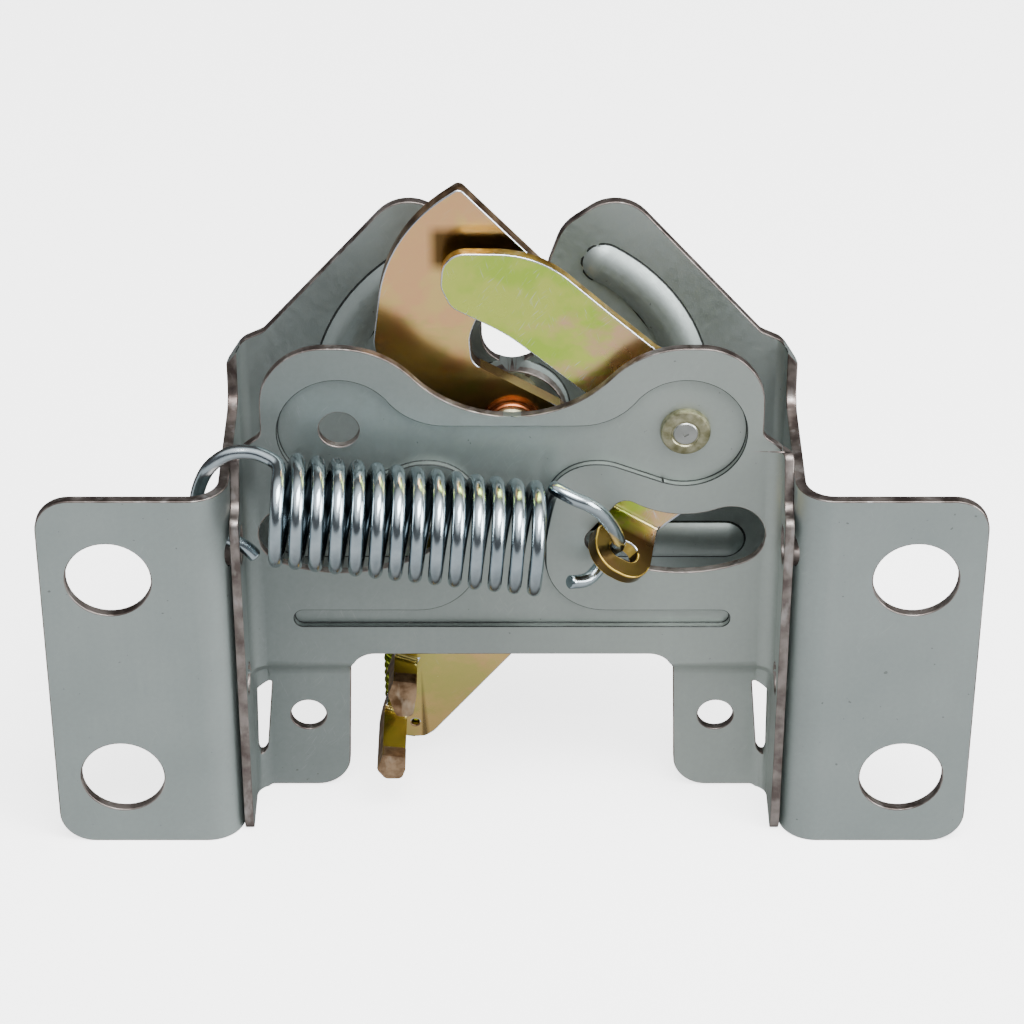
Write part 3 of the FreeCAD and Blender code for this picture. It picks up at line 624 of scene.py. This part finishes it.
mountingLook = {
    "sheet": 1.8 * mm,
    "sheetMost": 1.25,    # sheets between a face and its other side, at most
    "edgeRound": 0.22 * mm,
    "finishes": [mountingZinc, cutEdge, cutEdge, creasePaintedShade],
    "slot": "mounting_zinc",
}
innerLook = {
    "sheet": 1.6 * mm,
    "sheetMost": 1.25,
    "edgeRound": 0.20 * mm,
    "steps": [(11.2 * mm, 12.4 * mm), (12.8 * mm, 14.0 * mm)],    # depths on the front and rear
    "stepRound": 0.17 * mm,
    "jogs": [-6.2 * mm, -9.2 * mm],
    "jogRound": 1.2 * mm,
    "finishes": [innerZinc, cutEdge, cutEdge, creasePaintedShade],
    "slot": "inner_zinc",
}
leverLook = {
    "sheet": 2.2 * mm,
    "sheetMost": 1.6,    # the tab's bend is thicker
    "edgeRound": 0.24 * mm,
    "finishes": [leverPassivate, leverEdge, silverEdge, leverEdge],
    "slot": "yellow_passivate",
}
hookLook = {
    "sheet": 3.0 * mm,
    "sheetMost": 1.25,
    "edgeRound": 0.24 * mm,
    "leave": onFinger,
    "finishes": [hookPassivate, hookEdge, silverEdge, hookEdge],
    "slot": "yellow_passivate",
}
skinOf("mounting_bracket", "mountingSkin", "frame", mountingLook)
skinOf("inner_bracket", "innerSkin", "frame", innerLook)
skinOf("lifter_lever", "leverSkin", "lifter", leverLook)
skinOf("catch_hook", "hookSkin", "catch", hookLook)
print("latch: sheet pieces dressed")


plainFinish = {
    "lifter_washer": rivetOlive,
    "lifter_bush": bushCopper,
    "catch_rivet": rivetOlive,
    "catch_bush": bushCopper,
    "catch_collar": rivetOlive,
}
for nodeName, finish in plainFinish.items():
    for slot in nodes[nodeName].material_slots:
        slot.link = "OBJECT"
        slot.material = finish


# the lever's rivet: olive rim, grey disc and the punch's small square dimple
# the profile runs from the front over the rim to the rear end, as radius and depth
leverRivet = {
    "place": (29.3, 42.1),
    "dimple": 0.42,
    "dimpleDepths": (11.3, 11.0),
    "turn": 0.5,
    "profile": [(1.1, 11.0), (1.95, 11.0), (2.12, 11.16), (2.3, 11.16), (2.48, 11.0),
                (3.75, 11.02), (4.08, 11.2), (4.25, 11.55), (4.25, 12.4), (3.4, 12.4),
                (3.4, 14.0), (4.2, 14.0), (4.2, 17.32), (7.5, 17.32), (7.5, 18.62), (6.9, 19.22)],
    "greyRings": 3,
    "sides": 48,
    "sharp": math.radians(35),
}


def turnedRivet(name, look, body, nodeName):
    mesh = bmesh.new()
    centreX, centreZ = look["place"]
    sides = look["sides"]
    square, spokes = [], []
    for step in range(sides):
        angle = 2 * math.pi * step / sides
        reach = look["dimple"] / max(abs(math.cos(angle)), abs(math.sin(angle)))
        x, z = math.cos(angle + look["turn"]), math.sin(angle + look["turn"])
        square.append((reach * x, reach * z))
        spokes.append((x, z))
    outlines = [(square, 1, depth) for depth in look["dimpleDepths"]]
    outlines += [(spokes, radius, depth) for radius, depth in look["profile"]]
    rings = []
    for outline, radius, depth in outlines:
        points = [Vector((centreX + radius * x, depth, centreZ + radius * z)) for x, z in outline]
        rings.append([mesh.verts.new(point * mm) for point in points])
    for level, (near, far) in enumerate(zip(rings, rings[1:])):
        for step in range(sides):
            following = (step + 1) % sides
            face = mesh.faces.new((near[step], near[following], far[following], far[step]))
            face.material_index = 1 if level <= look["greyRings"] else 0
            face.smooth = True
    mesh.faces.new(list(reversed(rings[0]))).material_index = 1
    mesh.faces.new(rings[-1])
    bmesh.ops.recalc_face_normals(mesh, faces=mesh.faces)
    for edge in sharpEdges(mesh, look["sharp"]):
        edge.smooth = False
    data = bpy.data.meshes.new(name)
    mesh.to_mesh(data)
    mesh.free()
    data.materials.append(rivetOlive)
    data.materials.append(rivetGrey)
    rivet = bpy.data.objects.new(name, data)
    bpy.context.collection.objects.link(rivet)
    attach(rivet, body)
    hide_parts(nodeName)


turnedRivet("leverRivetHead", leverRivet, "frame", "lifter_rivet")
print("latch: rivets and bushes finished")


# smooth line through every point, with a few steps between each pair
def throughPoints(points, steps):
    line = []
    for index in range(len(points) - 1):
        before = points[max(index - 1, 0)]
        first, second = points[index], points[index + 1]
        after = points[min(index + 2, len(points) - 1)]
        for step in range(steps):
            t = step / steps
            line.append(0.5 * ((2 * first) + (second - before) * t
                               + (2 * before - 5 * first + 4 * second - after) * t * t
                               + (3 * first - before - 3 * second + after) * t * t * t))
    line.append(points[-1])
    return line


# round wire swept along a line, its ends cut square with a small chamfer
# its outward value is 1 where it faces away from the coil's axis and 0 where it faces the axis
def wireTube(name, line, spring, finish, axis, nodeName):
    mesh = bmesh.new()
    outward = mesh.verts.layers.float.new("outward")
    radius, sides = spring["wire"] * mm, spring["sides"]
    axisStart, axisEnd = axis
    axisWay = (axisEnd - axisStart).normalized()
    chamfer = radius * spring["chamfer"]
    firstAhead = (line[1] - line[0]).normalized()
    lastAhead = (line[-1] - line[-2]).normalized()
    stations = [(line[0], radius - chamfer), (line[0] + firstAhead * chamfer, radius)]
    stations += [(point, radius) for point in line[1:-1]]
    stations += [(line[-1] - lastAhead * chamfer, radius), (line[-1], radius - chamfer)]
    side = firstAhead.orthogonal().normalized()
    rings = []
    for index, (point, reach) in enumerate(stations):
        following = stations[min(index + 1, len(stations) - 1)][0]
        ahead = following - stations[max(index - 1, 0)][0]
        ahead.normalize()
        side = (side - ahead * side.dot(ahead)).normalized()
        across = ahead.cross(side)
        fromAxis = point - axisStart
        along = fromAxis.dot(axisWay)
        ray = (fromAxis - axisWay * along).normalized()
        onCoil = -mm < along < (axisEnd - axisStart).length + mm
        ring = []
        for step in range(sides):
            angle = 2 * math.pi * step / sides
            away = side * math.cos(angle) + across * math.sin(angle)
            vert = mesh.verts.new(point + away * reach)
            vert[outward] = 0.5 + 0.5 * away.dot(ray) if onCoil else 1.0
            ring.append(vert)
        rings.append(ring)
    for near, far in zip(rings, rings[1:]):
        for step in range(sides):
            following = (step + 1) % sides
            face = mesh.faces.new((near[step], near[following], far[following], far[step]))
            face.smooth = True
    mesh.faces.new(list(reversed(rings[0])))
    mesh.faces.new(rings[-1])
    bmesh.ops.recalc_face_normals(mesh, faces=mesh.faces)
    data = bpy.data.meshes.new(name)
    mesh.to_mesh(data)
    mesh.free()
    data.materials.append(finish)
    tube = bpy.data.objects.new(name, data)
    bpy.context.collection.objects.link(tube)
    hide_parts(nodeName)
    return tube


def coilPoints(axis, up, spring):
    start, end = axis
    front = (end - start).normalized().cross(up)
    radius = spring["coilRadius"] * mm
    steps = spring["turns"] * spring["perTurn"]
    points = []
    for step in range(steps + 1):
        angle = 2 * math.pi * step / spring["perTurn"]
        along = start.lerp(end, step / steps)
        points.append(along + (up * math.cos(angle) + front * math.sin(angle)) * radius)
    return points


def inMetres(points):
    return [Vector(point) * mm for point in points]


# tension spring in front, from the left wall to the lever's tab
liftSpring = {
    "wire": 1.2,    # radius
    "chamfer": 0.2,
    "coilRadius": 8.6,
    "turns": 14,
    "start": (-40.0, 0.9, 33.7),
    "end": (6.6, 0.9, 27.4),
    "leftHook": [(-43.6, 4.3, 21.7), (-45.4, 4.5, 23.6), (-48.0, 4.6, 25.0), (-50.8, 4.6, 25.6),
                 (-52.7, 4.6, 27.6), (-53.3, 4.6, 31.0), (-52.7, 4.5, 35.4), (-50.7, 4.2, 39.8),
                 (-47.3, 3.9, 42.7), (-43.8, 3.7, 43.2), (-41.0, 2.7, 42.9)],
    "rightHook": [(7.3, 3.7, 35.9), (8.6, 2.7, 35.7), (10.6, 2.0, 34.9), (13.0, 2.0, 33.7),
                  (15.2, 2.8, 31.3), (17.0, 4.3, 27.6), (18.0, 6.1, 24.3), (18.25, 7.2, 22.6),
                  (18.0, 7.8, 21.3), (17.1, 8.5, 19.6), (15.6, 8.4, 17.4), (13.0, 6.5, 15.5),
                  (9.8, 4.3, 16.4)],
    "stays": (0.0083, 0.003, 0.0280),    # metres: up to here the wire stays with the frame
    "follows": (0.0132, 0.003, 0.0263),    # metres: from here it follows the lever
    "perTurn": 12,
    "smoothing": 4,
    "sides": 18,
}
liftAxis = inMetres((liftSpring["start"], liftSpring["end"]))
springWay = Vector(liftSpring["end"]) - Vector(liftSpring["start"])
springUp = Vector((0, -1, 0)).cross(springWay).normalized()
liftLine = inMetres(liftSpring["leftHook"])
liftLine += coilPoints(liftAxis, springUp, liftSpring)[:-1]
liftLine += inMetres(liftSpring["rightHook"])
liftLine = throughPoints(liftLine, liftSpring["smoothing"])
liftSpringWire = wireTube("liftSpringWire", liftLine, liftSpring, springZinc, liftAxis,
                          "lifter_spring")
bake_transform(liftSpringWire)

# small tension spring behind, from the hook's arm to the back plate
returnSpring = {
    "wire": 0.5,    # radius
    "chamfer": 0.2,
    "coilRadius": 2.7,
    "turns": 11,
    "axis": (-20.1, 27.65),
    "bottom": -25.3,
    "top": -7.4,
    "frontEnd": [(20.9, -25.3), (22.0, -25.3), (24.5, -25.3)],    # through the arm
    "rearEnd": [(31.0, -7.4), (34.4, -7.4), (35.5, -8.2), (35.6, -11.4)],    # through the plate
    "perTurn": 12,
    "smoothing": 3,
    "sides": 10,
}
axisX, axisY = returnSpring["axis"]
hookX = axisX + returnSpring["coilRadius"]
returnAxis = inMetres([(axisX, axisY, returnSpring[end]) for end in ("bottom", "top")])
returnLine = inMetres([(hookX, y, z) for y, z in returnSpring["frontEnd"]])
returnLine += coilPoints(returnAxis, Vector((1, 0, 0)), returnSpring)
returnLine += inMetres([(hookX, y, z) for y, z in returnSpring["rearEnd"]])
returnLine = throughPoints(returnLine, returnSpring["smoothing"])
returnSpringWire = wireTube("returnSpringWire", returnLine, returnSpring, springYellow, returnAxis,
                            "return_spring")
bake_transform(returnSpringWire)
print("latch: springs wound")


studio = {
    "floorSize": 6,
    "floorPlace": (0, 0.6, -35.35 * mm),
    "floorTone": (0.90, 0.90, 0.90),
    "floorRoughness": 0.9,
    "floorGlow": 3.0,
    "keyLight": {"place": (0.15, -0.35, 0.80), "target": (0, 0, 0),
                 "width": 0.7, "height": 0.4, "power": 14.0},
    "sideLight": {"place": (0.75, -0.30, 0.30), "target": (0, 0, 0.03),
                  "width": 0.5, "height": 0.45, "power": 9.0},
    "airStrength": 1.35,
    # from straight down to straight up: grey, a dark band at eye level, bright
    "air": [(0.0, (0.30, 0.30, 0.30)), (0.22, (0.62, 0.63, 0.64)), (0.47, (0.60, 0.61, 0.62)),
            (0.53, (0.06, 0.06, 0.065)), (0.70, (0.08, 0.08, 0.085)), (0.80, (0.85, 0.86, 0.88)),
            (1.0, (1.0, 1.0, 1.0))],
    "airBehind": (0.05, 0.045, 0.04),
    "behindReach": 0.95,
    "behindSpan": (0.0, 0.35),
}
bpy.ops.mesh.primitive_plane_add(size=studio["floorSize"], location=studio["floorPlace"])
floor = bpy.context.object
floor.name = "paleFloor"
floorPaint, _, floorShader = newMaterial("paleFloorPaint")
floorShader.inputs["Base Color"].default_value = (*studio["floorTone"], 1)
floorShader.inputs["Roughness"].default_value = studio["floorRoughness"]
floorShader.inputs["Emission Color"].default_value = (1, 1, 1, 1)
floorShader.inputs["Emission Strength"].default_value = studio["floorGlow"]
floor.data.materials.append(floorPaint)
floor.visible_glossy = False    # the wire and the plating reflect the studio's air instead

for name in ("keyLight", "sideLight"):
    look = studio[name]
    data = bpy.data.lights.new(name, "AREA")
    data.shape = "RECTANGLE"
    data.size = look["width"]
    data.size_y = look["height"]
    data.energy = look["power"]
    light = bpy.data.objects.new(name, data)
    light.location = look["place"]
    way = Vector(look["target"]) - Vector(look["place"])
    light.rotation_euler = way.to_track_quat("-Z", "Y").to_euler()
    bpy.context.collection.objects.link(light)

world = bpy.data.worlds.new("studioAir")
bpy.context.scene.world = world
world.use_nodes = True
airTree = world.node_tree
background = airTree.nodes["Background"]
airCoords = airTree.nodes.new("ShaderNodeTexCoord")
airSplit = airTree.nodes.new("ShaderNodeSeparateXYZ")
airTree.links.new(airCoords.outputs["Generated"], airSplit.inputs["Vector"])
airHeight = maskOf(airTree, airSplit.outputs["Z"], (-1.0, 1.0))
airBack = maskOf(airTree, airSplit.outputs["Y"], studio["behindSpan"], studio["behindReach"])
airColour = rampOf(airTree, airHeight, studio["air"])
airColour = mixOf(airTree, airBack, airColour, studio["airBehind"])
airTree.links.new(airColour, background.inputs["Color"])
background.inputs["Strength"].default_value = studio["airStrength"]
print("latch: studio lit")
